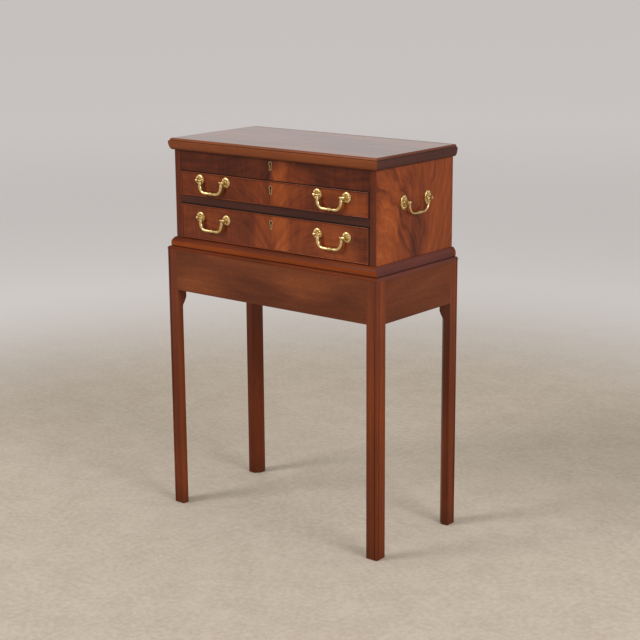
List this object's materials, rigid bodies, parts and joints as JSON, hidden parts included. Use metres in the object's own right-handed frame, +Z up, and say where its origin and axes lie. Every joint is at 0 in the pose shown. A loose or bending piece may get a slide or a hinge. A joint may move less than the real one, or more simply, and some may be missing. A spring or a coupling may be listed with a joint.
{
  "type": "silverware chest on stand",
  "caption": "Mahogany silverware chest with a hinged lid, cock-beaded drawers and swan-neck brass bails, lifting off its own beaded stand.",
  "frame": {"origin": "on the floor, midway between the legs", "axes": "+Z up, +X to the viewer's right when facing the drawers, +Y from the drawer fronts to the back"},
  "size_m": [0.635, 0.3134, 0.9144],
  "materials": {
    "legs": "polished",
    "aprons": "satin",
    "mouldings": "polished",
    "case_veneer": "polished",
    "dark_rail": "polished",
    "crotch_veneer": "polished",
    "cock_bead": "polished",
    "drawer_wood": "matte",
    "inner_wood": "matte",
    "flannel": "matte",
    "brass": "polished"
  },
  "bodies": {
    "stand": {"leg_front_left": "legs", "leg_front_right": "legs", "leg_back_left": "legs", "leg_back_right": "legs", "apron_front": "aprons", "apron_back": "aprons", "apron_left": "aprons", "apron_right": "aprons", "corner_blocks": "inner_wood", "waist_moulding": "mouldings"},
    "chest": {"case_side_left": "case_veneer", "case_side_right": "case_veneer", "case_bottom": "inner_wood", "drawer_rail": "dark_rail", "drawer_runners": "inner_wood", "dust_panel": "inner_wood", "drawer_stops": "inner_wood", "case_back": "case_veneer", "well_floor": "inner_wood", "drawer_kickers": "inner_wood", "false_front": "crotch_veneer", "lid_lock": "brass", "well_lining": "flannel", "well_dividers": "flannel", "case_hinge_leaves": "brass", "carry_handle_posts": "brass"},
    "lid": {"lid_frame": "mouldings", "lid_panel": "case_veneer", "lid_lining": "flannel", "lid_hinge_leaves": "brass", "lid_link_plate": "brass"},
    "upper_drawer": {"upper_drawer_front": "crotch_veneer", "upper_drawer_side_left": "drawer_wood", "upper_drawer_side_right": "drawer_wood", "upper_drawer_back": "drawer_wood", "upper_drawer_bottom": "drawer_wood", "upper_drawer_cock_bead": "cock_bead", "upper_drawer_lining": "flannel", "upper_drawer_lock": "brass", "upper_drawer_handle_posts": "brass", "upper_drawer_dividers": "flannel"},
    "upper_drawer_lock_bolt": {"upper_drawer_lock_bolt": "brass"},
    "upper_drawer_bail_left": {"upper_drawer_bail_left": "brass"},
    "upper_drawer_bail_right": {"upper_drawer_bail_right": "brass"},
    "lower_drawer": {"lower_drawer_front": "crotch_veneer", "lower_drawer_side_left": "drawer_wood", "lower_drawer_side_right": "drawer_wood", "lower_drawer_back": "drawer_wood", "lower_drawer_bottom": "drawer_wood", "lower_drawer_cock_bead": "cock_bead", "lower_drawer_lining": "flannel", "lower_drawer_lock": "brass", "lower_drawer_handle_posts": "brass"},
    "lower_drawer_lock_bolt": {"lower_drawer_lock_bolt": "brass"},
    "lower_drawer_bail_left": {"lower_drawer_bail_left": "brass"},
    "lower_drawer_bail_right": {"lower_drawer_bail_right": "brass"},
    "lid_lock_bolt": {"lid_lock_bolt": "brass"},
    "carry_bail_left": {"carry_bail_left": "brass"},
    "carry_bail_right": {"carry_bail_right": "brass"}
  },
  "joints": [
    {"name": "chest_lift", "type": "slide", "parent": "stand", "child": "chest", "axis": [0, 0, 1], "range_m": [0, 0.12]},
    {"name": "lid_hinge", "type": "hinge", "parent": "chest", "child": "lid", "pos_m": [0, 0.15465, 0.88685], "axis": [-1, 0, 0], "range_deg": [0, 95]},
    {"name": "lid_lock_slide", "type": "slide", "parent": "chest", "child": "lid_lock_bolt", "axis": [1, 0, 0], "range_m": [0, 0.005]},
    {"name": "upper_drawer_slide", "type": "slide", "parent": "chest", "child": "upper_drawer", "axis": [0, -1, 0], "range_m": [0, 0.2]},
    {"name": "upper_drawer_lock_slide", "type": "slide", "parent": "upper_drawer", "child": "upper_drawer_lock_bolt", "axis": [0, 0, 1], "range_m": [0, 0.005]},
    {"name": "upper_drawer_bail_left_swing", "type": "hinge", "parent": "upper_drawer", "child": "upper_drawer_bail_left", "pos_m": [-0.1785, -0.14925, 0.8211], "axis": [-1, 0, 0], "range_deg": [-8, 165]},
    {"name": "upper_drawer_bail_right_swing", "type": "hinge", "parent": "upper_drawer", "child": "upper_drawer_bail_right", "pos_m": [0.1785, -0.14925, 0.8211], "axis": [-1, 0, 0], "range_deg": [-8, 165]},
    {"name": "lower_drawer_slide", "type": "slide", "parent": "chest", "child": "lower_drawer", "axis": [0, -1, 0], "range_m": [0, 0.2]},
    {"name": "lower_drawer_lock_slide", "type": "slide", "parent": "lower_drawer", "child": "lower_drawer_lock_bolt", "axis": [0, 0, 1], "range_m": [0, 0.005]},
    {"name": "lower_drawer_bail_left_swing", "type": "hinge", "parent": "lower_drawer", "child": "lower_drawer_bail_left", "pos_m": [-0.1785, -0.14925, 0.7321], "axis": [-1, 0, 0], "range_deg": [-8, 165]},
    {"name": "lower_drawer_bail_right_swing", "type": "hinge", "parent": "lower_drawer", "child": "lower_drawer_bail_right", "pos_m": [0.1785, -0.14925, 0.7321], "axis": [-1, 0, 0], "range_deg": [-8, 165]},
    {"name": "carry_bail_left_swing", "type": "hinge", "parent": "chest", "child": "carry_bail_left", "pos_m": [-0.311, 0.00625, 0.805], "axis": [0, 1, 0], "range_deg": [-10, 165]},
    {"name": "carry_bail_right_swing", "type": "hinge", "parent": "chest", "child": "carry_bail_right", "pos_m": [0.311, 0.00625, 0.805], "axis": [0, -1, 0], "range_deg": [-10, 165]}
  ]
}
